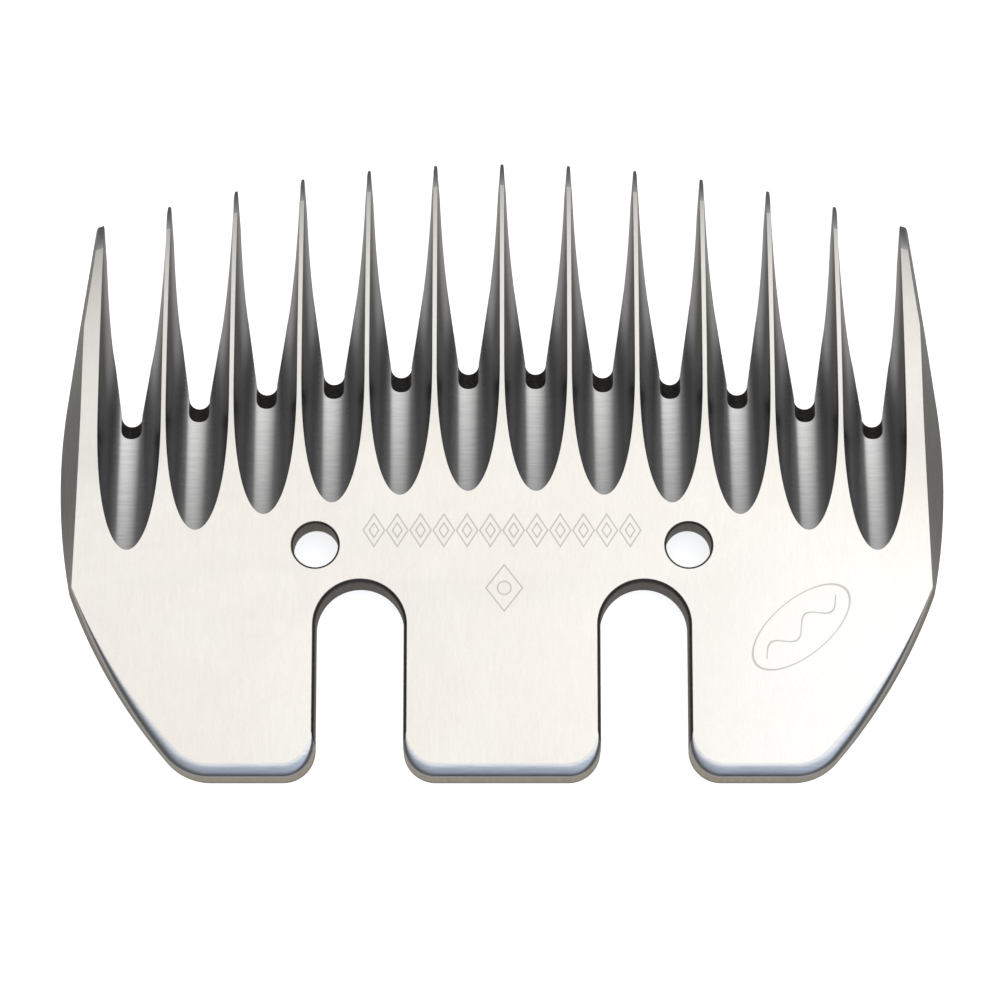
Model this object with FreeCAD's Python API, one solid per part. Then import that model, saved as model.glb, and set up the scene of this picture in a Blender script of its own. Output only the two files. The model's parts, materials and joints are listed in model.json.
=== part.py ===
import FreeCAD, Part
import os
from math import acos, atan2, cos, radians, sin, sqrt, tan
from FreeCAD import Vector

# A 13-tooth shearing comb: the fixed lower blade of a powered handpiece, ground from one
# piece of steel. It lies flat, with the face that the cutter runs on at z = 0 and the
# scalloped skin side up. X runs across the comb and Y points along the teeth. The origin is
# on the cutter face, midway between the round ends of the two screw slots.
# Sizes are in millimetres and angles in degrees. A "reach" is measured along Y.

# Plate
thickness = 3.5
butt_length = 14.25              # from the origin back to the butt edge

# Teeth
tooth_count = 13
tooth_pitch = 6.35
tooth_ridge = 0.40               # flat left on top of each tooth
tip_reach = 45.75                # the middle tooth's tip
tip_arc_radius = 120.0           # the arc that the tips and the roots of the gaps lie on
lead_length = 18.0               # from a tip back to where the skin side starts to fall
lead_bulge = 0.42                # how far the lead's arc stands out from its chord
nose_length = 2.4                # from a tip back to where the lead meets the nose
nose_height = 1.55               # the height of the tooth there
nose_bulge = 0.09
tip_height = 0.6                 # what the nose leaves of the thickness
tip_taper_length = 3.6           # beside each gap the teeth narrow to their tips
tip_taper_start = 0.45           # half the width where that starts, and at the tip
tip_half_width = 0.14

# Scallops, ground between the teeth by a round-edged wheel
scallop_reach = 12.82            # where a scallop on the centre line would start
scallop_arc_radius = 110.0
wheel_radius = 136.0
entry_angle = 16.2               # how steeply the wheel enters the skin side
run_out_angle = 6.9              # how steeply it leaves, towards the tips
wheel_overswing = 1.0            # where its swing starts, before it touches the plate

# Gaps, cut through the floor of each scallop
root_reach = 25.05               # where the root of a gap on the centre line would be
root_radius = 0.97
gap_wall_angle = 8.0             # how far each wall of the gap turns out from straight
gap_taper_length = 9.0           # root to where the scallop itself is wider than the gap
root_ramp_angle = 28.0           # slope of the ramp down into the root

# Flanks: the sides of the comb are ground back from the cutter face to the skin side.
# An outset is how far the flank stands outside the middle of the outer tooth.
cusp_reach = 3.6                 # where the flank ends in a cusp, low on the body
cusp_outset = 2.38
cusp_outset_on_top = 1.85
widest_reach = 14.4
widest_outset = 3.47
widest_outset_on_top = 1.53
waist_reach = 21.3               # the flank is round up to here, and straight beyond
waist_outset = 3.05
waist_outset_on_top = 1.36
shoulder_length = 10.5           # from the outer tip back to where the flank turns inwards
shoulder_outset = 2.06
shoulder_outset_on_top = 1.15
outer_tip_outset = 0.58
outer_tip_outset_on_top = -0.52

# Screw slots and pin holes
slot_spacing = 26.4
slot_width = 8.15
pin_hole_spacing = 34.74
pin_hole_reach = 7.6
pin_hole_diameter = 4.2
pin_hole_break = 0.2

# Feet and sides
foot_corner_radius = 3.0         # beside each slot
outer_foot_width = 9.65          # from the slot to where the butt corner starts
butt_corner_radius = 5.4
side_radius = 51.7               # the side bows out from the butt corner to the cusp

# Bevels around the butt end, seen from above. They start at one depth below the skin side.
bevel_depth = 0.65
butt_bevel = 1.25
slot_bevel = 0.33

# How far a cutting tool passes what it cuts, and how far the ring about the tips turns
overrun = 2.0
ring_turn = 60.0

groove_radius = (tooth_pitch - tooth_ridge) / 2
gap_count = tooth_count - 1
gap_places = [tooth_pitch * (i - (gap_count - 1) / 2) for i in range(gap_count)]
outer_tooth = tooth_pitch * gap_count / 2
blank_reach = tip_reach + overrun
bevel_start = thickness - bevel_depth


def on_arc(x, reach, radius):
    """The Y of an arc that crosses the centre line at this reach and curves back beside it."""
    return reach - radius + sqrt(radius ** 2 - x ** 2)


def line(a, b):
    return Part.LineSegment(a, b).toShape()


def arc(a, middle, b):
    return Part.Arc(a, middle, b).toShape()


def quarter(centre, radius, start_degrees, end_degrees):
    """An arc about a centre, by the angles of its ends."""
    angles = [start_degrees, (start_degrees + end_degrees) / 2, end_degrees]
    points = [
        centre + Vector(cos(radians(a)), sin(radians(a)), 0) * radius for a in angles
    ]
    return arc(*points)


def on_flank(outset, outset_on_top, reach, z):
    """A point of the flank at height z. It runs straight from cutter face to skin side."""
    return Vector(outer_tooth + outset + (outset_on_top - outset) * z / thickness, reach, z)


def slot_side(z, bevel):
    """The edges from the middle of the butt, round one slot, to the foot beyond it."""
    butt = -butt_length + butt_bevel * bevel
    half_slot = slot_width / 2 + slot_bevel * bevel
    inner = slot_spacing / 2 - half_slot
    outer = slot_spacing / 2 + half_slot
    r = foot_corner_radius
    return [
        line(Vector(0, butt, z), Vector(inner - r, butt, z)),
        quarter(Vector(inner - r, butt + r, z), r, -90, 0),
        line(Vector(inner, butt + r, z), Vector(inner, 0, z)),
        quarter(Vector(slot_spacing / 2, 0, z), half_slot, 180, 0),
        line(Vector(outer, 0, z), Vector(outer, butt + r, z)),
        quarter(Vector(outer + r, butt + r, z), r, 180, 270),
    ]


def butt_corner_and_side(z, bevel):
    """The edges from the outer foot, round the butt corner and up the side to the cusp.

    The side is an arc through the cusp that the corner's arc runs into smoothly, so its
    centre is the far point of a triangle on the line from the corner's centre to the cusp.
    """
    slot_wall = (slot_spacing + slot_width) / 2
    foot = Vector(
        slot_wall + slot_bevel * bevel + foot_corner_radius,
        -butt_length + butt_bevel * bevel,
        z,
    )
    r = butt_corner_radius - butt_bevel * bevel
    corner = Vector(slot_wall + outer_foot_width, butt_corner_radius - butt_length, z)
    cusp = on_flank(cusp_outset, cusp_outset_on_top, cusp_reach, z)
    to_cusp = cusp - corner
    to_centre = side_radius - r
    base = to_cusp.Length
    at_corner = acos((to_centre ** 2 + base ** 2 - side_radius ** 2) / (2 * to_centre * base))
    direction = atan2(to_cusp.y, to_cusp.x) + at_corner
    inward = Vector(cos(direction), sin(direction), 0)
    side_centre = corner + inward * to_centre
    meeting = corner - inward * r
    corner_middle = corner + (Vector(0, -1, 0) - inward).normalize() * r
    half_way = (meeting + cusp) * 0.5 - side_centre
    side_middle = side_centre + half_way.normalize() * side_radius
    butt_end = Vector(corner.x, foot.y, z)
    return [
        line(foot, butt_end),
        arc(butt_end, corner_middle, meeting),
        arc(meeting, side_middle, cusp),
    ]


def flank(z):
    """The edges from the cusp along the ground flank, past the tips and in to the middle."""
    tip_place = on_arc(outer_tooth, tip_reach, tip_arc_radius)
    shoulder_place = tip_place - shoulder_length
    cusp = on_flank(cusp_outset, cusp_outset_on_top, cusp_reach, z)
    widest = on_flank(widest_outset, widest_outset_on_top, widest_reach, z)
    waist = on_flank(waist_outset, waist_outset_on_top, waist_reach, z)
    shoulder = on_flank(shoulder_outset, shoulder_outset_on_top, shoulder_place, z)
    tip = on_flank(outer_tip_outset, outer_tip_outset_on_top, tip_place, z)
    onward = (blank_reach - shoulder_place) / shoulder_length
    beyond = shoulder + (tip - shoulder) * onward
    return [
        arc(cusp, widest, waist),
        line(waist, shoulder),
        line(shoulder, beyond),
        line(beyond, Vector(0, blank_reach, z)),
    ]


def outline(z, bevel):
    """The whole outline at height z. The bevels are 0 of their width below and 1 on top."""
    right = slot_side(z, bevel) + butt_corner_and_side(z, bevel) + flank(z)
    left = [edge.mirror(Vector(0, 0, 0), Vector(1, 0, 0)) for edge in right]
    return Part.Wire(Part.__sortEdges__(right + left))


def blank():
    """The flat plate with its slots, ground flanks and bevelled butt end."""
    sections = [outline(0, 0), outline(bevel_start, 0), outline(thickness, 1)]
    return Part.makeLoft(sections, True, True)


def scallop(x):
    """What the wheel removes at one gap: it swings in, then runs out straight to the tips."""
    start = on_arc(x, scallop_reach, scallop_arc_radius)
    centre = Vector(
        x,
        start + wheel_radius * sin(radians(entry_angle)),
        thickness + wheel_radius * cos(radians(entry_angle)),
    )
    bottom = centre.z - wheel_radius
    r = groove_radius
    top = bottom + r + thickness + overrun
    left = Vector(x - r, centre.y, bottom + r)
    right = Vector(x + r, centre.y, bottom + r)
    left_top = Vector(x - r, centre.y, top)
    right_top = Vector(x + r, centre.y, top)
    rim = Part.Wire([
        arc(left, Vector(x, centre.y, bottom), right),
        line(right, right_top),
        line(right_top, left_top),
        line(left_top, left),
    ])
    profile = Part.Face(rim)
    backwards = Vector(-1, 0, 0)
    profile.rotate(centre, backwards, run_out_angle)
    swing = profile.revolve(centre, backwards, entry_angle - run_out_angle + wheel_overswing)
    run_out = Vector(0, cos(radians(run_out_angle)), -sin(radians(run_out_angle)))
    straight = profile.extrude(run_out * (blank_reach - start))
    return swing.fuse(straight)


def gap(x):
    """What opens one gap: a tapering slot, and a ramp down to its root."""
    root = on_arc(x, root_reach, tip_arc_radius)
    r = root_radius
    turn = radians(gap_wall_angle)
    centre = Vector(x, root + r, -overrun)
    touch_x = r * cos(turn)
    touch_y = centre.y - r * sin(turn)
    end_y = root + gap_taper_length
    end_x = touch_x + (end_y - touch_y) * tan(turn)
    corners = [
        Vector(x + touch_x, touch_y, -overrun),
        Vector(x + end_x, end_y, -overrun),
        Vector(x - end_x, end_y, -overrun),
        Vector(x - touch_x, touch_y, -overrun),
    ]
    taper = Part.Wire([
        line(corners[0], corners[1]),
        line(corners[1], corners[2]),
        line(corners[2], corners[3]),
        arc(corners[3], centre - Vector(0, r, 0), corners[0]),
    ])
    slot = Part.Face(taper).extrude(Vector(0, 0, thickness + 2 * overrun))
    return [slot, ramp(x, root)]


def ramp(x, root):
    """A round-ended tool as wide as the root, driven in along the slope of the ramp."""
    r = root_radius
    slope = tan(radians(root_ramp_angle))
    near = root + r + overrun / slope
    far = near + gap_taper_length / 2
    z = -overrun
    face = Part.Face(Part.Wire([
        line(Vector(x + r, near, z), Vector(x + r, far, z)),
        line(Vector(x + r, far, z), Vector(x - r, far, z)),
        line(Vector(x - r, far, z), Vector(x - r, near, z)),
        arc(Vector(x - r, near, z), Vector(x, near - r, z), Vector(x + r, near, z)),
    ]))
    rise = overrun + thickness / 2
    return face.extrude(Vector(0, -rise / slope, rise))


def bulged(a, b, bulge):
    """An arc along the teeth that stands out from its chord by the bulge."""
    chord = b - a
    outwards = Vector(0, -chord.z, chord.y).normalize()
    return arc(a, (a + b) * 0.5 + outwards * bulge, b)


def leads_and_noses():
    """What lowers the teeth to their tips: a ring about the centre of the tips' arc."""
    lead = Vector(0, tip_reach - lead_length, thickness)
    nose = Vector(0, tip_reach - nose_length, nose_height)
    tip = Vector(0, tip_reach, tip_height)
    centre = Vector(0, tip_reach - tip_arc_radius, 0)
    corner = Vector(outer_tooth + widest_outset, blank_reach, 0)
    outside = centre.y + (corner - centre).Length + overrun
    corners = [
        Vector(0, tip_reach, -overrun),
        Vector(0, outside, -overrun),
        Vector(0, outside, thickness + overrun),
        Vector(0, lead.y, thickness + overrun),
    ]
    edges = [bulged(lead, nose, lead_bulge), bulged(nose, tip, nose_bulge)]
    edges.append(line(tip, corners[0]))
    edges += [line(a, b) for a, b in zip(corners, corners[1:])]
    edges.append(line(corners[-1], lead))
    profile = Part.Face(Part.Wire(edges))
    profile.rotate(centre, Vector(0, 0, 1), -ring_turn / 2)
    return profile.revolve(centre, Vector(0, 0, 1), ring_turn)


def tip_taper(x):
    """What narrows the teeth beside one gap to their tips: a block with two slanted sides."""
    narrowing = (tip_taper_start - tip_half_width) / tip_taper_length
    end = tip_half_width - narrowing * overrun
    corners = []
    for side in (-1, 1):
        tooth = x + side * tooth_pitch / 2
        tip = on_arc(tooth, tip_reach, tip_arc_radius)
        near = Vector(tooth - side * tip_taper_start, tip - tip_taper_length, -overrun)
        far = Vector(tooth - side * end, tip + overrun, -overrun)
        corners += [near, far][::-side]
    face = Part.Face(Part.makePolygon(corners + corners[:1]))
    return face.extrude(Vector(0, 0, thickness + 2 * overrun))


def pin_hole(x):
    """A round hole with its edge broken on both faces."""
    r = pin_hole_diameter / 2
    wide = r + pin_hole_break
    hole = Part.makeCylinder(r, thickness + 2 * overrun, Vector(x, pin_hole_reach, -overrun))
    low = Part.makeCone(wide, r, pin_hole_break, Vector(x, pin_hole_reach, 0))
    high_start = Vector(x, pin_hole_reach, thickness - pin_hole_break)
    high = Part.makeCone(r, wide, pin_hole_break, high_start)
    return [hole, low, high]


def comb():
    tools = [leads_and_noses()]
    for x in gap_places:
        tools.append(scallop(x))
        tools += gap(x)
        tools.append(tip_taper(x))
    for side in (-1, 1):
        tools += pin_hole(side * pin_hole_spacing / 2)
    return blank().cut(tools)


os.makedirs("parts", exist_ok=True)
shape = comb()
print("solids", len(shape.Solids), "valid", shape.isValid(), "volume", round(shape.Volume, 2))
points = shape.tessellate(0.1)[0]
for axis, values in zip("XYZ", zip(*points)):
    print(axis, round(min(values), 3), "to", round(max(values), 3))
shape.exportStep("parts/comb.step")
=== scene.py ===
# %% [markdown]
# # A shearing comb in ground steel
# This notebook builds the look of the fixed lower blade of a sheep-shearing handpiece: one flat
# steel plate with thirteen long teeth, hollow-ground scallops between them, two screw slots and
# two pin holes. The engineering model is loaded first and stays as it is. Everything here is
# built in the same frame: X across the comb, Y along the teeth, Z out of the scalloped side.

import json

import bmesh
import bpy
import numpy as np
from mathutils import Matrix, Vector
from mathutils.bvhtree import BVHTree


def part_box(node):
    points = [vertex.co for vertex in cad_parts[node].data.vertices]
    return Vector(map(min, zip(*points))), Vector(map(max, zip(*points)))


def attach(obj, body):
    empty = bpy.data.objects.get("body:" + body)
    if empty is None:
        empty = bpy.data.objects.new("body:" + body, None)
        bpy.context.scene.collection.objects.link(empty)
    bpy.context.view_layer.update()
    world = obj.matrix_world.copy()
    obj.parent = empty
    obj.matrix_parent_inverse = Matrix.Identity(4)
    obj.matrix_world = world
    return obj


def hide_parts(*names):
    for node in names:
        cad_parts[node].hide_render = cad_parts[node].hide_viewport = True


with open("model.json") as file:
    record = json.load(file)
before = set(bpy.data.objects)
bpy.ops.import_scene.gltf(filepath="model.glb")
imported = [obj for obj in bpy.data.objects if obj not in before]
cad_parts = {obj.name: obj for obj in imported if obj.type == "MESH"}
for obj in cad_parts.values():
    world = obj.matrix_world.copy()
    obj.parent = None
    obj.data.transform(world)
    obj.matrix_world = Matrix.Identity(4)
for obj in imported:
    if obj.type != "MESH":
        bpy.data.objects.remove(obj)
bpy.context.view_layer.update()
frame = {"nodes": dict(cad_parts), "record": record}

# %% [markdown]
# The comb's leading sizes are read from the frame: the box of the model, and the places where
# its pin holes and screw slots were recorded. A maker works in millimetres, so the formulas
# below do too, and a mesh is turned into metres when it is made.

# %% Sizes that the frame gives, in millimetres
MM = 0.001
low, high = (np.array(corner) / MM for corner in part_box("comb"))
mounts = {mount["name"]: mount for mount in frame["record"]["mounts"]}
pin_x, pin_y = np.array(mounts["pin_hole_right"]["pos_m"][:2]) / MM
pin_radius = mounts["pin_hole_right"]["dims"]["r_mm"]
slot_x = mounts["screw_slot_right"]["pos_m"][0] / MM
thickness = high[2] - low[2]
butt_y = low[1]
tip_reach = high[1]
half_width = high[0]
print(f"comb {2 * half_width:.1f} x {tip_reach - butt_y:.1f} x {thickness:.1f} mm")
print(f"pin hole at ({pin_x:.2f}, {pin_y:.2f}), radius {pin_radius:.2f}; slot at x {slot_x:.1f}")

# %% Sizes of the grinding and of the outline, in millimetres and degrees
tooth_count = 13
tooth_pitch = 6.35
tooth_ridge = 0.40
groove_radius = (tooth_pitch - tooth_ridge) / 2
outer_tooth = tooth_pitch * (tooth_count - 1) / 2
gap_x = tooth_pitch * (np.arange(tooth_count - 1) - (tooth_count - 2) / 2)
tip_arc_radius = 120.0
overrun = 2.0
blank_reach = tip_reach + overrun
print("gap centres:", gap_x.round(2))


# %% [markdown]
# ## The plate
# The real comb starts as a flat blank, stamped or milled to its outline. Its butt end is rounded
# over towards the skin side, and each flank is ground back so that it leans in. In Blender the
# blank could be an extruded curve, but its edge rounding changes from place to place. It is
# easier as a stack of outlines: each level of the stack is the same outline, worked out for its
# own height, and neighbouring levels are joined into a wall.

# %% Lines and arcs as arrays of points
def straight(start, end, count):
    """Points on a line: the start plus an even share of the way to the end, which is left out."""
    share = np.arange(count)[:, None] / count
    return np.array(start) + (np.array(end) - np.array(start)) * share


def turn(centre, radius, first, last, count):
    """Points on a circle at angles spaced evenly from first to last, which is left out."""
    angle = np.radians(first + (last - first) * np.arange(count) / count)
    return np.array(centre) + radius * np.column_stack([np.cos(angle), np.sin(angle)])


def bearing(start, end):
    """The angle of the line from one point to another, in degrees."""
    return np.degrees(np.arctan2(end[1] - start[1], end[0] - start[0]))


def bow(start, middle, end, count):
    """Points on the circle through three points.

    Its centre is as far from the start as from the middle, and as far from the middle as from
    the end, which gives two linear equations.
    """
    a, b, c = (np.array(point) for point in (start, middle, end))
    centre = np.linalg.solve(2 * np.array([b - a, c - b]), [b @ b - a @ a, c @ c - b @ b])
    return turn(centre, np.linalg.norm(a - centre), bearing(centre, a), bearing(centre, c), count)


print("a quarter turn in four steps:", turn((0, 0), 1, 0, 90, 4).round(2).tolist())

# %% [markdown]
# The outline runs from the middle of the butt edge, round one screw slot, round the outer foot,
# up the side to a small cusp, and along the ground flank past the outer tooth. The left half is
# its mirror image. `bevel` says how much of the edge rounding is used up at that level: none on
# the wall below, all of it on the skin side.

# %% Sizes of the outline
slot_half_width = 4.075
foot_corner_radius = 3.0
outer_foot_width = 9.65
butt_corner_radius = 5.4
side_radius = 51.7
butt_bevel = 1.25
slot_bevel = 0.33
bevel_depth = 0.65
cusp_reach, cusp_outset, cusp_on_top = 3.6, 2.38, 1.85
widest_reach, widest_outset, widest_on_top = 14.4, half_width - outer_tooth - 0.01, 1.53
waist_reach, waist_outset, waist_on_top = 21.3, 3.05, 1.36
shoulder_length, shoulder_outset, shoulder_on_top = 10.5, 2.06, 1.15
outer_tip_outset, outer_tip_on_top = 0.58, -0.52


# %% The outline at one level
def on_arc(x, reach, radius):
    """The Y of an arc that crosses the centre line at this reach and falls away beside it."""
    return reach - radius + np.sqrt(radius**2 - x**2)


def on_flank(outset, on_top, reach, z):
    """A point of the flank, which leans in steadily from the cutter face to the skin side."""
    return np.array([outer_tooth + outset + (on_top - outset) * z / thickness, reach])


def side_parts(z, bevel):
    """The butt corner, and the bowed side that it runs into and that ends in the cusp.

    The side's centre is the far point of a triangle whose other sides are the lines from the
    corner's centre to the cusp and from the cusp to the side's centre.
    """
    radius = butt_corner_radius - butt_bevel * bevel
    corner = np.array([slot_x + slot_half_width + outer_foot_width, butt_y + butt_corner_radius])
    cusp = on_flank(cusp_outset, cusp_on_top, cusp_reach, z)
    reach = side_radius - radius
    base = np.linalg.norm(cusp - corner)
    at_corner = np.arccos((reach**2 + base**2 - side_radius**2) / (2 * reach * base))
    towards = bearing(corner, cusp) + np.degrees(at_corner)
    direction = np.array([np.cos(np.radians(towards)), np.sin(np.radians(towards))])
    side_centre = corner + reach * direction
    meeting = towards - 180
    return [
        turn(corner, radius, -90, meeting, 40),
        turn(side_centre, side_radius, meeting, bearing(side_centre, cusp), 64),
    ]


def flank_parts(z):
    """The flank: an arc, then two straight lines.

    The arc is the circle through the cusp, the widest place and the waist. One line goes on to
    the shoulder, and the other from there through the tip to the end of the blank.
    """
    tip_place = on_arc(outer_tooth, tip_reach, tip_arc_radius)
    cusp = on_flank(cusp_outset, cusp_on_top, cusp_reach, z)
    widest = on_flank(widest_outset, widest_on_top, widest_reach, z)
    waist = on_flank(waist_outset, waist_on_top, waist_reach, z)
    shoulder = on_flank(shoulder_outset, shoulder_on_top, tip_place - shoulder_length, z)
    tip = on_flank(outer_tip_outset, outer_tip_on_top, tip_place, z)
    beyond = shoulder + (tip - shoulder) * (blank_reach - shoulder[1]) / shoulder_length
    return [
        bow(cusp, widest, waist, 80),
        straight(waist, shoulder, 10),
        straight(shoulder, beyond, 20),
    ]


def right_half(z, bevel):
    """The parts of the right half of the outline, each with the name of its surface."""
    butt = butt_y + butt_bevel * bevel
    half_slot = slot_half_width + slot_bevel * bevel
    inner, outer = slot_x - half_slot, slot_x + half_slot
    r = foot_corner_radius
    foot_end = slot_x + slot_half_width + outer_foot_width
    corner, side = side_parts(z, bevel)
    flank_arc, flank_middle, flank_line = flank_parts(z)
    return [
        ("wall", straight((0, butt), (inner - r, butt), 4)),
        ("wall", turn((inner - r, butt + r), r, -90, 0, 24)),
        ("slot", straight((inner, butt + r), (inner, 0), 8)),
        ("slot", turn((slot_x, 0), half_slot, 180, 0, 72)),
        ("slot", straight((outer, 0), (outer, butt + r), 8)),
        ("wall", turn((outer + r, butt + r), r, 180, 270, 24)),
        ("wall", straight((outer + r, butt), (foot_end, butt), 4)),
        ("wall", corner),
        ("wall", side),
        ("flank", flank_arc),
        ("flank", flank_middle),
        ("flank", flank_line),
        ("flank", straight((flank_line[-1][0], blank_reach), (0, blank_reach), 2)),
    ]


def outline(z, bevel):
    """The closed outline at height z: the right half, then its mirror image running back."""
    right = np.vstack([points for _, points in right_half(z, bevel)] + [[[0, blank_reach]]])
    left = right[-2:0:-1] * [-1, 1]
    flat = np.vstack([right, left])
    return np.column_stack([flat, np.full(len(flat), z)])


sides = [name for name, points in right_half(0, 0) for _ in points]
sides = np.array(sides + sides[::-1])
print(len(outline(0, 0)), "points in the outline, of which", (sides == "slot").sum(), "in slots")

# %% [markdown]
# A swept solid is a set of rings, each with the same number of points, joined one to the next
# and closed at both ends. One function makes every solid here from an array of rings: the
# blank's rings are its levels, and a grinding wheel's are places along its path. Each face
# carries the number of its finish, so the cut surfaces remember which tool made them.

# %% A mesh from rings of points
FINISHES = (
    "skin_face", "cutter_face", "scallop", "gap", "nose", "rounded", "wall", "slot", "flank",
)
NUMBER = {name: number for number, name in enumerate(FINISHES)}
materials = {name: bpy.data.materials.new("comb_" + name) for name in FINISHES}


def swept_solids(name, rings, finish, first_cap=None, last_cap=None):
    """A mesh of closed solids from an array of points shaped (solids, rings, points, 3).

    Point p of ring r of solid s has number (s * rings + r) * points + p. Each wall face joins
    points p and p + 1 of ring r to the same points of ring r + 1. The first and last ring of a
    solid are closed by a flat cap. finish is a name, or an array of numbers for the wall faces,
    and then the caps need names of their own.
    """
    rings = np.asarray(rings, float)
    solids, ring_count, points, _ = rings.shape
    number = np.arange(solids * ring_count * points).reshape(solids, ring_count, points)
    here, there = number[:, :-1], number[:, 1:]
    walls = np.stack([here, np.roll(here, -1, 2), np.roll(there, -1, 2), there], -1)
    caps = np.concatenate([number[:, 0, ::-1], number[:, -1]])
    mesh = bpy.data.meshes.new(name)
    faces = walls.reshape(-1, 4).tolist() + caps.tolist()
    mesh.from_pydata((rings.reshape(-1, 3) * MM).tolist(), [], faces)
    for each in FINISHES:
        mesh.materials.append(materials[each])
    if isinstance(finish, str):
        first_cap, last_cap = first_cap or finish, last_cap or finish
        finish = NUMBER[finish]
    wall_finish = np.broadcast_to(finish, walls.shape[:3])
    cap_finish = np.repeat([NUMBER[first_cap], NUMBER[last_cap]], solids)
    mesh.polygons.foreach_set("material_index", np.concatenate([wall_finish.ravel(), cap_finish]))
    shell = bmesh.new()
    shell.from_mesh(mesh)
    bmesh.ops.recalc_face_normals(shell, faces=shell.faces)
    shell.to_mesh(mesh)
    shell.free()
    solid = bpy.data.objects.new(name, mesh)
    bpy.context.scene.collection.objects.link(solid)
    return solid


# %% [markdown]
# The levels of the blank: a plain wall up to where the rounding starts, then a quarter of an
# oval that rolls over onto the skin side. Height follows the sine of the roll angle and the
# bevel share follows one minus its cosine. The butt's oval is wide and low, and the slots',
# whose bevel is narrower, is steep. The engineering model has a flat bevel of the same size.

# %% The blank
wall_z = np.linspace(0, thickness - bevel_depth, 6)
roll = np.radians(np.linspace(0, 90, 25)[1:])
level_z = np.concatenate([wall_z, thickness - bevel_depth + bevel_depth * np.sin(roll)])
level_bevel = np.concatenate([np.zeros(len(wall_z)), 1 - np.cos(roll)])
levels = np.array([outline(z, bevel) for z, bevel in zip(level_z, level_bevel)])

side_number = np.vectorize(NUMBER.get)(sides)
rounded_number = np.where(sides == "wall", NUMBER["rounded"], side_number)
is_rounded = np.arange(len(levels) - 1) >= len(wall_z) - 1
blank_finish = np.where(is_rounded[:, None], rounded_number, side_number)
comb = swept_solids("comb_steel", levels[None], blank_finish[None], "cutter_face", "skin_face")
print(f"blank: {len(levels)} levels of {levels.shape[1]} points, {len(comb.data.polygons)} faces")

# %% [markdown]
# ## The scallops
# The hollows between the teeth are ground by a large wheel with a half-round rim. The wheel
# swings down into the plate, so the start of each hollow is a pointed oval, and then it is fed
# straight out towards the tips while it keeps getting deeper. The cutter is that path itself:
# the rim's profile, carried round the wheel's axle and then along the run-out line.

# %% Sizes of the scallops
scallop_reach = 12.82
scallop_arc_radius = 110.0
wheel_radius = 136.0
entry_angle = 16.2
run_out_angle = 6.9
wheel_overswing = 1.0


# %% The rim's profile and the wheel's path
def rim_profile(arc_points):
    """The rim as (across, above the lowest point): a half circle with straight sides above."""
    angle = np.radians(np.linspace(-90, 90, arc_points))
    across = groove_radius * np.sin(angle)
    above = groove_radius * (1 - np.cos(angle))
    high_enough = groove_radius + thickness + overrun
    return (
        np.concatenate([[-groove_radius], across, [groove_radius]]),
        np.concatenate([[high_enough], above, [high_enough]]),
    )


def scallop_rings(x, swing_steps=56, straight_steps=6):
    """The profile at places along the wheel's path, for all gaps at once.

    While the wheel swings, a point at height h above the rim's lowest point is wheel radius
    minus h from the axle, at the swing angle behind the vertical. Afterwards it keeps the
    run-out angle and moves along the run-out line.
    """
    across, above = rim_profile(73)
    swing = np.radians(np.linspace(entry_angle + wheel_overswing, run_out_angle, swing_steps))
    start = on_arc(x, scallop_reach, scallop_arc_radius)
    axle_y = start + wheel_radius * np.sin(np.radians(entry_angle))
    axle_z = thickness + wheel_radius * np.cos(np.radians(entry_angle))
    angle = np.concatenate([swing, np.full(straight_steps, swing[-1])])[None, :, None]
    fed = np.linspace(0, blank_reach - scallop_reach, straight_steps + 1)[1:]
    fed = np.concatenate([np.zeros(swing_steps), fed])[None, :, None]
    from_axle = (wheel_radius - above)[None, None, :]
    y = axle_y[:, None, None] - from_axle * np.sin(angle) + fed * np.cos(angle)
    z = axle_z - from_axle * np.cos(angle) - fed * np.sin(angle)
    xs = x[:, None, None] + across[None, None, :]
    return np.stack(np.broadcast_arrays(xs, y, z), -1)


wheel_cuts = swept_solids("wheel_cuts", scallop_rings(gap_x), "scallop")
print("scallop cutters:", len(wheel_cuts.data.polygons), "faces")

# %% [markdown]
# ## The gaps
# Each scallop's floor is opened by a narrow tapering slot with a round root, so that wool can
# pass between the teeth. Seen from above, the root shows a short dark ramp: a second round
# cutter was driven down at a slant. Both are outlines pushed along a line.

# %% Sizes of the gaps
root_reach = 25.05
root_radius = 0.97
gap_wall_angle = 8.0
gap_taper_length = 9.0
root_ramp_angle = 28.0


# %% The cutters of the gaps
def pushed(flat, x, root, bottom, top, slant=0.0):
    """An outline at two heights; slant is how far it moves back in Y for each unit of rise."""
    heights = np.array([bottom, top])[None, :, None]
    xs = x[:, None, None] + flat[None, None, :, 0]
    y = root[:, None, None] + flat[None, None, :, 1] - slant * (heights - bottom)
    return np.stack(np.broadcast_arrays(xs, y, heights), -1)


def gap_outline():
    """A round root, and walls that open out from it at the wall angle. Y is 0 at the root."""
    a = gap_wall_angle
    root = turn((0, root_radius), root_radius, 180 + a, 360 - a, 48)
    touch = root_radius * np.array([np.cos(np.radians(a)), 1 - np.sin(np.radians(a))])
    end_x = touch[0] + (gap_taper_length - touch[1]) * np.tan(np.radians(a))
    return np.vstack([root, [touch], [[end_x, gap_taper_length], [-end_x, gap_taper_length]]])


def ramp_outline(start):
    """A straight tool with a round end, starting this far from the root."""
    far = start + gap_taper_length / 2
    end = turn((0, start), root_radius, 180, 360, 48)
    return np.vstack([end, [[root_radius, start], [root_radius, far], [-root_radius, far]]])


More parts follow.
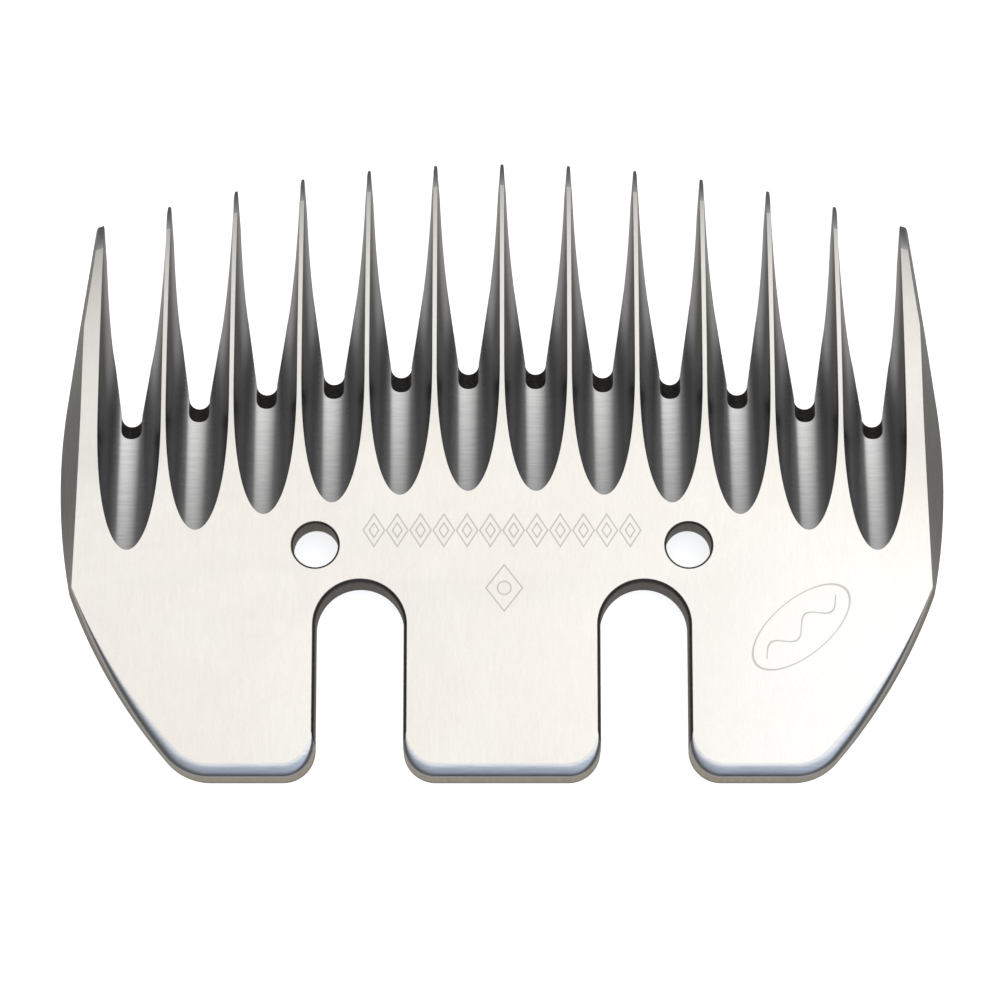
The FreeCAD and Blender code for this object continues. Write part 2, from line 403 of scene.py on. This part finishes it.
gap_root = on_arc(gap_x, root_reach, tip_arc_radius)
slant = 1 / np.tan(np.radians(root_ramp_angle))
through = pushed(gap_outline(), gap_x, gap_root, -overrun, thickness + overrun)
ramp_flat = ramp_outline(root_radius + overrun * slant)
ramped = pushed(ramp_flat, gap_x, gap_root, -overrun, thickness / 2, slant)
gap_cuts = swept_solids("gap_cuts", through, "gap")
ramp_cuts = swept_solids("ramp_cuts", ramped, "gap")
print("roots of the gaps at y", gap_root.round(2))

# %% [markdown]
# ## The leads, the noses and the pin holes
# Towards its tip every tooth gets lower in a long curve, the lead, and ends in a short steep
# nose, so that it glides over the skin. The tips lie on one long arc, so one ring about the
# centre of that arc lowers all thirteen at once. Beside each gap the teeth also narrow
# to their tips. The pin holes are turned: a round hole whose edges are broken on both faces.

# %% Sizes of the leads, the noses and the holes
lead_length, lead_bulge = 18.0, 0.42
nose_length, nose_height, nose_bulge = 2.4, 1.55, 0.09
tip_height = 0.6
tip_taper_length, tip_taper_start, tip_half_width = 3.6, 0.45, 0.14
pin_hole_break = 0.2
lead_points = 40


# %% The cutter of the leads and noses
def bulged(start, end, bulge, count):
    """An arc that stands out from the middle of its chord by the bulge."""
    start, end = np.array(start), np.array(end)
    chord = end - start
    outwards = np.array([-chord[1], chord[0]]) / np.linalg.norm(chord)
    return bow(start, (start + end) / 2 + outwards * bulge, end, count)


def nose_rings(steps=241, swing=30.0):
    """The profile, as (reach, height), carried round the centre of the tips' arc."""
    lead = [tip_reach - lead_length, thickness]
    nose = [tip_reach - nose_length, nose_height]
    tip = [tip_reach, tip_height]
    outside = np.hypot(half_width, blank_reach - tip_reach + tip_arc_radius) + overrun
    outside += tip_reach - tip_arc_radius
    corners = [
        tip,
        [tip_reach, -overrun],
        [outside, -overrun],
        [outside, thickness + overrun],
        [lead[0], thickness + overrun],
    ]
    arcs = [bulged(lead, nose, lead_bulge, lead_points), bulged(nose, tip, nose_bulge, 12)]
    profile = np.vstack(arcs + [corners])
    centre_y = tip_reach - tip_arc_radius
    radius = (profile[:, 0] - centre_y)[None, :]
    angle = np.radians(np.linspace(-swing, swing, steps))[:, None]
    xs = radius * np.sin(angle)
    y = centre_y + radius * np.cos(angle)
    return np.stack(np.broadcast_arrays(xs, y, profile[None, :, 1]), -1)[None]


ring = nose_rings()
is_lead = np.arange(ring.shape[2]) < lead_points
nose_finish = np.where(is_lead, NUMBER["skin_face"], NUMBER["nose"])
nose_cut = swept_solids("nose_cut", ring, nose_finish[None, None], "nose", "nose")


# %% The cutters that narrow the tips
def taper_rings():
    """A four-sided block in each gap. Its sides slant in to the middle of the teeth beside it."""
    narrowing = (tip_taper_start - tip_half_width) / tip_taper_length
    half = np.array([tip_taper_start, tip_half_width - narrowing * overrun])
    left, right = gap_x[:, None] - tooth_pitch / 2, gap_x[:, None] + tooth_pitch / 2
    along = np.array([-tip_taper_length, overrun])
    xs = np.hstack([left + half, (right - half)[:, ::-1]])
    y = np.hstack([
        on_arc(left, tip_reach, tip_arc_radius) + along,
        (on_arc(right, tip_reach, tip_arc_radius) + along)[:, ::-1],
    ])
    heights = np.array([-overrun, thickness + overrun])[None, :, None]
    return np.stack(np.broadcast_arrays(xs[:, None, :], y[:, None, :], heights), -1)


taper_cuts = swept_solids("taper_cuts", taper_rings(), "scallop")


# %% The cutters of the pin holes
def hole_rings():
    """Circles up the hole's axis. The radius grows round a quarter circle at each mouth."""
    roll = np.radians(np.linspace(90, 0, 9))
    flare = pin_hole_break * (1 - np.cos(roll))
    rise = pin_hole_break * np.sin(roll)
    radius = pin_radius + np.concatenate([[flare[0]], flare, flare[::-1], [flare[0]]])
    low_z = np.concatenate([[-overrun], pin_hole_break - rise])
    z = np.concatenate([low_z, thickness - low_z[::-1]])
    angle = np.radians(np.arange(0, 360, 5))
    centres = np.array([-pin_x, pin_x])[:, None, None]
    xs = centres + radius[None, :, None] * np.cos(angle)
    y = pin_y + radius[None, :, None] * np.sin(angle)
    return np.stack(np.broadcast_arrays(xs, y, z[None, :, None]), -1)


pin_cuts = swept_solids("pin_cuts", hole_rings(), "slot")
print("nose and hole cutters:", len(nose_cut.data.polygons), len(pin_cuts.data.polygons), "faces")

# %% [markdown]
# ## Cutting
# The cutters are taken from the blank with Boolean modifiers, in the order a workshop would use
# them. The faces that a cutter leaves keep the cutter's finish. The result is made into a plain
# mesh, and the cutters are thrown away.

# %% Cut the blank
cutters = [wheel_cuts, gap_cuts, ramp_cuts, nose_cut, taper_cuts, pin_cuts]
for cutter in cutters:
    cut = comb.modifiers.new(cutter.name, "BOOLEAN")
    cut.operation = "DIFFERENCE"
    cut.solver = "MANIFOLD"
    cut.object = cutter
evaluated = comb.evaluated_get(bpy.context.evaluated_depsgraph_get())
finished = bpy.data.meshes.new_from_object(evaluated)
comb.modifiers.clear()
comb.data = finished
for cutter in cutters:
    bpy.data.objects.remove(cutter)
print("cut comb:", len(finished.polygons), "faces")

# %% [markdown]
# A look that has drifted from the engineering model would be wrong however good it is. So a
# sample of the new surface's points is measured against the nearest place on the model.

# %% Compare the cut comb with the engineering model
sample_size = 4000
cad = frame["nodes"]["comb"].data
corners = np.empty(len(cad.vertices) * 3, np.float32)
cad.vertices.foreach_get("co", corners)
cad_tree = BVHTree.FromPolygons(
    corners.reshape(-1, 3).tolist(), [list(face.vertices) for face in cad.polygons]
)
sample = list(finished.vertices)[:: max(1, len(finished.vertices) // sample_size)]
gaps = np.array([cad_tree.find_nearest(vertex.co)[3] for vertex in sample]) / MM
print(f"distance from the model: median {np.median(gaps):.3f} mm, largest {gaps.max():.3f} mm")

# %% [markdown]
# Ground surfaces are smooth, and the edges between them are crisp. So every face is shaded
# smooth, and an edge is marked sharp where the surface turns by more than a right-sized angle,
# or where two different finishes meet at a clear angle.

# %% Sharp edges
def mark_sharp(mesh, any_turn=35.0, finish_turn=4.0):
    """Marks edges by the angle between their two faces' normals.

    Each edge of a closed mesh belongs to exactly two face corners, so the corners sorted by
    edge come in pairs, and each pair gives the edge's two faces.
    """
    edge = np.empty(len(mesh.loops), int)
    mesh.loops.foreach_get("edge_index", edge)
    count = np.empty(len(mesh.polygons), int)
    mesh.polygons.foreach_get("loop_total", count)
    normal = np.empty(len(mesh.polygons) * 3, np.float32)
    mesh.polygons.foreach_get("normal", normal)
    finish = np.empty(len(mesh.polygons), int)
    mesh.polygons.foreach_get("material_index", finish)
    face_of_corner = np.repeat(np.arange(len(mesh.polygons)), count)
    pair = face_of_corner[np.argsort(edge, kind="stable")].reshape(-1, 2)
    normal = normal.reshape(-1, 3)
    cosine = np.clip((normal[pair[:, 0]] * normal[pair[:, 1]]).sum(1), -1, 1)
    angle = np.degrees(np.arccos(cosine))
    changes = finish[pair[:, 0]] != finish[pair[:, 1]]
    sharp = (angle > any_turn) | (changes & (angle > finish_turn))
    mesh.polygons.foreach_set("use_smooth", np.ones(len(mesh.polygons), bool))
    mesh.attributes.new("sharp_edge", "BOOLEAN", "EDGE").data.foreach_set("value", sharp)
    return sharp


sharp = mark_sharp(finished)
finished.update()
print(sharp.sum(), "sharp edges of", len(sharp))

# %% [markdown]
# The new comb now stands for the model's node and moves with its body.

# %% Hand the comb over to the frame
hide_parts("comb")
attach(comb, "root")
print(comb.name, "stands for the node comb")


# %% [markdown]
# ## Shader maths
# A small class wraps a node's output, so that a pattern can be written as a sum: adding two of
# them adds a Math node. Every other node comes from one method.

# %% Signals and nodes
class Signal:
    """The output of a node. Arithmetic on signals adds Math nodes to the same tree."""

    def __init__(self, nodes, socket):
        self.nodes = nodes
        self.socket = socket

    def maths(self, operation, *values):
        return self.nodes.add("ShaderNodeMath", {"operation": operation}, dict(enumerate(values)))

    def __add__(self, other):
        return self.maths("ADD", self, other)

    def __sub__(self, other):
        return self.maths("SUBTRACT", self, other)

    def __rsub__(self, other):
        return self.maths("SUBTRACT", other, self)

    def __mul__(self, other):
        return self.maths("MULTIPLY", self, other)

    def __truediv__(self, other):
        return self.maths("DIVIDE", self, other)

    def __rtruediv__(self, other):
        return self.maths("DIVIDE", other, self)

    def __abs__(self):
        return self.maths("ABSOLUTE", self)

    __radd__ = __add__
    __rmul__ = __mul__

    def greater(self, other):
        return self.maths("MAXIMUM", self, other)

    def fraction(self):
        return self.maths("FRACT", self)

    def sine(self):
        return self.maths("SINE", self)

    def root(self):
        return self.maths("SQRT", self)

    def ease(self, start, end, first=0.0, last=1.0):
        """Turns start..end into first..last with soft ends, and stays there outside."""
        settings = {"interpolation_type": "SMOOTHSTEP"}
        sockets = {0: self, 1: start, 2: end, 3: first, 4: last}
        return self.nodes.add("ShaderNodeMapRange", settings, sockets)


class Nodes:
    """The node tree of a material or of the world."""

    def __init__(self, owner):
        owner.use_nodes = True
        self.tree = owner.node_tree
        self.tree.nodes.clear()

    def add(self, kind, settings, sockets, output=0, stops=()):
        """Adds one node: its settings first, then values or links of its sockets."""
        node = self.tree.nodes.new(kind)
        for name, value in settings.items():
            setattr(node, name, value)
        for number, (place, shade) in enumerate(stops):
            ramp = node.color_ramp
            stop = ramp.elements[number] if number < 2 else ramp.elements.new(place)
            stop.position = place
            stop.color = shade
        for name, value in sockets.items():
            if isinstance(value, Signal):
                self.tree.links.new(value.socket, node.inputs[name])
            else:
                node.inputs[name].default_value = value
        return Signal(self, node.outputs[output]) if node.outputs else None

    def mix(self, factor, first, second):
        """Goes from the first colour to the second."""
        sockets = {0: factor, 6: first, 7: second}
        return self.add("ShaderNodeMix", {"data_type": "RGBA"}, sockets, 2)

    def parts(self, vector):
        """The three numbers of a vector."""
        split = self.add("ShaderNodeSeparateXYZ", {}, {0: vector})
        return [Signal(self, socket) for socket in split.socket.node.outputs]

    def place(self):
        """The place on the piece, in millimetres."""
        here = self.add("ShaderNodeTexCoord", {}, {}, "Object")
        return self.add("ShaderNodeVectorMath", {"operation": "SCALE"}, {0: here, "Scale": 1 / MM})

    def noise(self, place, per_mm, detail=2.0, roughness=0.5):
        """Noise with its own number of features to a millimetre in X, Y and Z."""
        settings = {"operation": "MULTIPLY"}
        stretched = self.add("ShaderNodeVectorMath", settings, {0: place, 1: per_mm})
        sockets = {"Vector": stretched, "Scale": 1.0, "Detail": detail, "Roughness": roughness}
        return self.add("ShaderNodeTexNoise", {"normalize": True}, sockets)


def colour(red, green, blue):
    return (red, green, blue, 1.0)


print("one grey as a colour:", colour(0.5, 0.5, 0.5))


# %% [markdown]
# ## Steel
# Every surface of the comb is bare steel, so they share one recipe. Grinding leaves fine
# parallel scratches, which are noise stretched along the direction of the wheel. They roughen
# the reflection, stand up slightly as bump, and darken the metal a little. A wide, soft noise
# warms and cools the colour, as on any handled steel.

# %% One recipe for ground steel
fine_share = 3.1                 # how many times closer the fine scratches lie
patches_per_mm = (0.16, 0.16, 0.16)


def ground_steel(name, light, dark, roughness, scratch_per_mm, tint=0.5, bump=0.004, extra=None):
    """Fills one finish's material. light and dark are the colours that the scratches mix."""
    nodes = Nodes(materials[name])
    here = nodes.place()
    scratches = nodes.noise(here, scratch_per_mm, 3.0, 0.6)
    fine = nodes.noise(here, [fine_share * value for value in scratch_per_mm], 2.0, 0.5)
    patches = nodes.noise(here, patches_per_mm, 2.0, 0.5)
    shade = scratches.ease(0.30, 0.70)
    base = nodes.mix(shade, colour(*dark), colour(*light))
    warm = colour(light[0] * 1.02, light[1] * 0.97, light[2] * 0.92)
    base = nodes.mix(patches.ease(0.35, 0.75) * tint, base, warm)
    rough = roughness + (fine - 0.5) * 0.10 + (patches - 0.5) * 0.06
    height = scratches + fine * 0.5
    if extra is not None:
        base, rough, height = extra(nodes, here, base, rough, height)
    normal = nodes.add(
        "ShaderNodeBump", {}, {"Strength": 1.0, "Distance": bump * MM, "Height": height}
    )
    sockets = {"Base Color": base, "Metallic": 1.0, "Roughness": rough, "Normal": normal}
    surface = nodes.add("ShaderNodeBsdfPrincipled", {}, sockets)
    nodes.add("ShaderNodeOutputMaterial", {}, {"Surface": surface})


# %% [markdown]
# The skin side is the one that people see, so makers etch their marks there. Here they are
# plain ornament: a row of outlined lozenges between the pin holes, one larger lozenge below it,
# and a slanted oval with a wave in it on the right foot. A figure is a number that is 1 on its
# outline; its line is where that number is within a small distance of 1.

# %% The etched ornament
line_width = 0.13
row_y, row_half_length, row_pitch, row_half_height = 9.0, 13.0, 26 / 12, 1.55
big_x, big_y, big_half_width, big_half_height = 0.2, 3.5, 1.7, 2.2
ring_radius = 0.62
oval_x, oval_y, oval_length, oval_width, oval_tilt = 27.7, -0.2, 11.0, 5.2, 40.0
wave_height, wave_turn = 0.7, 1.5
cell_share, inner_share = 0.46, 0.45


def outlined(figure, steepness):
    """1 on the line where a figure is 1. steepness is how much it changes in a millimetre."""
    near = steepness * line_width / 2
    return abs(figure - 1.0).ease(near * 0.6, near * 1.4, 1.0, 0.0)


def lozenge(across, up, half_width, half_height):
    """The outline of a lozenge, where |across| / half width + |up| / half height is 1."""
    figure = across / half_width + up / half_height
    return outlined(figure, np.hypot(1 / half_width, 1 / half_height))


def row_of_lozenges(x, y):
    """Distance to the middle of a cell, from the fraction of x in pitches, repeats a lozenge."""
    cell, up = abs((x / row_pitch).fraction() - 0.5) * row_pitch, abs(y - row_y)
    half = row_pitch * cell_share
    outer = lozenge(cell, up, half, row_half_height)
    inner = lozenge(cell, up, half * inner_share, row_half_height * inner_share)
    return outer.greater(inner) * (abs(x) - row_half_length).ease(-0.05, 0.05, 1.0, 0.0)


def slanted_oval(x, y):
    """An oval, where the root of the squares of the two shares of its axes is 1, and a wave."""
    cosine, sine = np.cos(np.radians(oval_tilt)), np.sin(np.radians(oval_tilt))
    along = (x - oval_x) * cosine + (y - oval_y) * sine
    aside = (y - oval_y) * cosine - (x - oval_x) * sine
    far, wide = along / (oval_length / 2), aside / (oval_width / 2)
    distance = (far * far + wide * wide).root()
    from_wave = abs(aside - (along * wave_turn).sine() * wave_height)
    wave = from_wave.ease(line_width * 0.4, line_width * 0.9, 1.0, 0.0)
    rim = outlined(distance, 1.6 / oval_width)
    inside = distance.ease(0.80, 0.82, 1.0, 0.0)
    return rim.greater(wave * inside)


def ornament(nodes, here):
    """All the marks as one mask, 1 on their lines."""
    x, y, _ = nodes.parts(here)
    big_across, big_up = abs(x - big_x), abs(y - big_y)
    big = lozenge(big_across, big_up, big_half_width, big_half_height)
    from_middle = (big_across * big_across + big_up * big_up).root()
    ring = outlined(from_middle / ring_radius, 1 / ring_radius)
    return row_of_lozenges(x, y).greater(big).greater(ring).greater(slanted_oval(x, y))


def beyond_arc(x, y, radius):
    """How far a place lies towards the tips, on an arc: Y plus X squared over the diameter."""
    return y + x * x / (2 * radius)


print("ornament lines are", line_width, "mm wide")

# %% [markdown]
# A flat ground face is never even. Handling leaves smears, and a painted highlight makes the face
# brighter towards the right and towards the butt. The narrow ridges of the teeth wear duller than
# the plate that they grow from.

# %% Worn and smeared places of the skin side, and its painted highlight
smears_per_mm = (0.10, 0.32, 0.1)
ridge_start, ridge_end = 16.0, 24.0


def skin_marks_and_painted_highlight(nodes, here, base, rough, height):
    """Etches the ornament, dulls the worn ridges, leaves faint smears, and paints a highlight
    towards the right and the butt.
    """
    x, y, _ = nodes.parts(here)
    mask = ornament(nodes, here) * 0.75
    smears = nodes.noise(here, smears_per_mm, 3.0, 0.6).ease(0.42, 0.72)
    smears = smears * y.ease(-6.0, 12.0, 0.25, 1.0) * x.ease(-30.0, 20.0, 1.0, 0.45)
    base = nodes.mix(smears * 0.30, base, colour(0.70, 0.685, 0.665))
    # painted highlight: the flat face is lighter towards the right and towards the butt
    painted_highlight = x.ease(0.0, 36.0) * y.ease(-2.0, 18.0, 1.0, 0.0)
    base = nodes.mix(painted_highlight * 0.8, base, colour(0.88, 0.865, 0.845))
    on_ridge = beyond_arc(x, y, scallop_arc_radius).ease(ridge_start, ridge_end)
    base = nodes.mix(on_ridge * 0.25, base, colour(0.70, 0.68, 0.65))
    base = nodes.mix(mask, base, colour(0.50, 0.48, 0.44))
    return base, rough + mask * 0.12 + on_ridge * 0.06, height


# %% [markdown]
# The floor of a scallop is clean and bright, and its sides look dark. Much of that darkness is the
# dark room that the steep sides reflect. The renderer's second reflections come out too bright
# there, so the sides also get painted shade: a darker and duller steel. That suits this light
# only. Past the roots, the lower edges of the teeth get a painted reflection, lighter as if they
# showed the lit side of the next tooth.

# %% Bright floors of the scallops, painted shade on their sides, painted reflection on the teeth
side_shade_start, side_shade_end = 1.0, 1.9        # from the scallop's middle
darkest_start, darkest_end = 2.0, 2.7
reflection_start, reflection_end = 25.0, 32.0
reflection_height = 1.4


def scallop_painted_light(nodes, here, base, rough, height):
    """Paints shade by the distance from the scallop's middle, and paints a reflection on the
    teeth's lower edges.
    """
    x, y, z = nodes.parts(here)
    aside = abs((x / tooth_pitch).fraction() - 0.5) * tooth_pitch
    # painted shade: the scallop's sides are darker and duller than its floor
    painted_side_shade = aside.ease(side_shade_start, side_shade_end)
    base = nodes.mix(painted_side_shade * 0.80, base, colour(0.24, 0.24, 0.25))
    # painted shade: the steepest parts of the sides are darkest
    darkest = aside.ease(darkest_start, darkest_end)
    base = nodes.mix(darkest * 0.8, base, colour(0.13, 0.13, 0.135))
    # painted reflection: the teeth's lower edges are lighter past the roots
    past_root = beyond_arc(x, y, tip_arc_radius).ease(reflection_start, reflection_end)
    painted_reflection = z.ease(0.0, reflection_height, 1.0, 0.0) * past_root
    base = nodes.mix(painted_reflection * 0.85, base, colour(0.72, 0.72, 0.73))
    return base, rough + painted_side_shade * 0.16, height


# %% [markdown]
# The wall round the butt is warm and duller than the ground faces. Its lower edge gets painted
# shade where it meets the floor, and the bowed side is darker too.

# %% Painted shade at the foot of the wall, and darker sides
contact_shade_start, contact_shade_end = 0.15, 0.75        # above the cutter face
dark_sides_start, dark_sides_end = 30.0, 36.0          # out to each side


def painted_shade_and_dark_sides(nodes, here, base, rough, height):
    """Paints shade on the wall close to the cutter face, and darkens it out on the sides."""
    x, _, z = nodes.parts(here)
    # painted shade at the foot of the wall, where it meets the floor
    painted_contact_shade = z.ease(contact_shade_start, contact_shade_end, 1.0, 0.0)
    dark = painted_contact_shade.greater(abs(x).ease(dark_sides_start, dark_sides_end) * 0.6)
    base = nodes.mix(dark * 0.75, base, colour(0.16, 0.145, 0.13))
    return base, rough + dark * 0.1, height


print("grime reaches", contact_shade_end, "mm up the wall")


# %% [markdown]
# Each finish then gets its two colours, its roughness, and how many scratches there are to a
# millimetre in X, Y and Z. A surface is smooth along the axis with the small number, so that is
# the way its scratches run. The gaps, the slots and holes and the flanks are the same steel as the
# rest, but they look dark beside the bright faces. Their colours are painted shade, darker here to
# match that look, which is a choice made for this light and not a different metal.

# %% The nine finishes
ground_steel(
    "skin_face", (0.82, 0.79, 0.74), (0.79, 0.762, 0.717),
    0.28, (3.0, 0.5, 3.0), 0.4, 0.001, skin_marks_and_painted_highlight,
)
ground_steel("cutter_face", (0.72, 0.71, 0.70), (0.60, 0.59, 0.58), 0.26, (0.3, 5.0, 5.0), 0.3)
ground_steel(
    "scallop", (0.66, 0.66, 0.655), (0.60, 0.60, 0.60),
    0.20, (0.35, 4.2, 0.35), 0.2, 0.0015, scallop_painted_light,
)
# painted shade: the gaps get darker steel than the metal has
ground_steel("gap", (0.10, 0.092, 0.085), (0.05, 0.045, 0.04), 0.42, (3.0, 3.0, 0.5), 0.3)
ground_steel("nose", (0.55, 0.55, 0.55), (0.42, 0.42, 0.42), 0.35, (8.0, 0.8, 0.8), 0.2)
ground_steel("rounded", (0.70, 0.71, 0.73), (0.62, 0.63, 0.65), 0.22, (0.4, 4.0, 4.0), 0.2)
ground_steel(
    "wall", (0.72, 0.66, 0.56), (0.60, 0.55, 0.46),
    0.40, (3.0, 3.0, 0.4), 0.5, 0.004, painted_shade_and_dark_sides,
)
# painted shade: the slots and pin holes get darker steel than the metal has
ground_steel("slot", (0.16, 0.148, 0.14), (0.10, 0.092, 0.088), 0.40, (3.0, 3.0, 0.4), 0.5)
# painted shade: the flanks get darker steel than the metal has
ground_steel("flank", (0.31, 0.312, 0.315), (0.23, 0.232, 0.235), 0.28, (5.0, 0.3, 5.0), 0.3)
print("finishes:", ", ".join(FINISHES))

# %% [markdown]
# ## Floor, light and camera
# The comb lies on a pale sheet that turns up all round into a low bowl, so that every view has
# a clean background.

# %% The floor
floor_rings = 49
floor_points = 96
floor_radius, flat_radius, rim_height = 1.6, 0.7, 0.8      # in metres
floor_gap = 0.00005


def bowl():
    """A disc that turns up smoothly: height follows the square of the way beyond the flat."""
    radius = np.linspace(0.0, floor_radius, floor_rings)[:, None]
    angle = np.radians(np.arange(floor_points) * 360 / floor_points)[None, :]
    beyond_flat = np.clip(radius - flat_radius, 0, None) / (floor_radius - flat_radius)
    height = rim_height * beyond_flat**2 - floor_gap
    shape = np.broadcast_arrays(radius * np.cos(angle), radius * np.sin(angle), height)
    return np.stack(shape, -1)[None, ::-1]


number = np.arange(floor_rings * floor_points).reshape(floor_rings, floor_points)
outer, inner = number[:-1], number[1:]
quads = np.stack([outer, np.roll(outer, -1, 1), np.roll(inner, -1, 1), inner], -1)
floor_mesh = bpy.data.meshes.new("floor")
floor_mesh.from_pydata(bowl().reshape(-1, 3).tolist(), [], quads.reshape(-1, 4).tolist())
floor_mesh.polygons.foreach_set("use_smooth", np.ones(len(floor_mesh.polygons), bool))
floor = bpy.data.objects.new("floor", floor_mesh)
bpy.context.scene.collection.objects.link(floor)
floor.visible_glossy = False
floor.visible_shadow = False
pale = bpy.data.materials.new("pale_sheet")
nodes = Nodes(pale)
sheet = nodes.add(
    "ShaderNodeBsdfPrincipled",
    {},
    {
        "Base Color": colour(0.9, 0.9, 0.9),
        "Roughness": 0.9,
        "Emission Color": colour(1.0, 1.0, 1.0),
        "Emission Strength": 0.75,
    },
)
nodes.add("ShaderNodeOutputMaterial", {}, {"Surface": sheet})
floor_mesh.materials.append(pale)
print("floor:", len(floor_mesh.polygons), "faces")

# %% [markdown]
# Bare steel shows little but what it reflects, so the light is a soft window painted on the
# world: one ramp for the angle along the teeth and one for the angle across them. It is
# brightest a little to the right of overhead and ends in a crisp edge there, and fades slowly
# to the left. Lamps could do it too, but a ramp gives each edge its own softness.

# %% The light
light_strength = 1.56
room_below, room_above = colour(0.27, 0.26, 0.245), colour(0.085, 0.085, 0.085)
world = bpy.data.worlds.new("studio")
bpy.context.scene.world = world
nodes = Nodes(world)
direction = nodes.add("ShaderNodeTexCoord", {}, {}, "Generated")
dx, dy, dz = nodes.parts(direction)
across = dx.maths("ARCTAN2", dx, dz) / (2 * np.pi) + 0.5
along = dy.maths("ARCTAN2", dy, dz) / (2 * np.pi) + 0.5


def stop(degrees, red, green=None, blue=None):
    """A ramp's stop at an angle from straight up. One number alone is a grey."""
    green = red if green is None else green
    blue = red if blue is None else blue
    return degrees / 360 + 0.5, colour(red, green, blue)


lit = nodes.add(
    "ShaderNodeValToRGB",
    {},
    {0: along},
    stops=[
        stop(-100, 0.03),
        stop(-70, 0.06, 0.064, 0.07),
        stop(-34, 0.34, 0.38, 0.46),
        stop(-8, 0.44, 0.50, 0.60),
        stop(2, 0.98),
        stop(10, 1.0, 0.995, 0.985),
        stop(20, 0.97),
        stop(34, 0.95),
        stop(39, 0.82),
        stop(42, 0.61),
        stop(44.5, 0.46),
        stop(47, 0.35),
        stop(51, 0.23),
        stop(57, 0.11),
        stop(75, 0.07),
        stop(110, 0.05),
    ],
)
window = nodes.add(
    "ShaderNodeValToRGB",
    {},
    {0: across},
    stops=[
        stop(-56, 0.0),
        stop(-44, 0.07),
        stop(-35, 0.34),
        stop(-28, 0.50),
        stop(-14, 0.67),
        stop(0, 0.79),
        stop(14, 0.88),
        stop(28, 1.0),
        stop(37, 0.96),
        stop(43, 0.0),
    ],
)
around = nodes.mix(dz.ease(-0.12, 0.04), room_below, room_above)
radiance = nodes.mix(window, around, lit)
glow = nodes.add("ShaderNodeBackground", {}, {"Color": radiance, "Strength": light_strength})
nodes.add("ShaderNodeOutputWorld", {}, {"Surface": glow})
print("light strength:", light_strength)

# %% [markdown]
# The camera looks down on the skin side from the butt end, tilted a little so that the walls
# facing it show. A long lens keeps the teeth nearly parallel.

# %% The camera
camera_data = bpy.data.cameras.new("camera")
camera_data.lens = 156.4
camera_data.sensor_width = 36.0
camera = bpy.data.objects.new("camera", camera_data)
bpy.context.scene.collection.objects.link(camera)
elevation = np.radians(76.0)
distance = 0.405
target = Vector((-0.00019, 0.0119, thickness * MM))
back = Vector((0.0, -np.cos(elevation), np.sin(elevation)))
camera.location = target + back * distance
camera.rotation_mode = "QUATERNION"
camera.rotation_quaternion = (-back).to_track_quat("-Z", "Y")
camera_data.clip_start = 0.01
bpy.context.scene.camera = camera
bpy.context.scene.view_settings.view_transform = "Standard"
print("camera at", [round(value, 4) for value in camera.location])
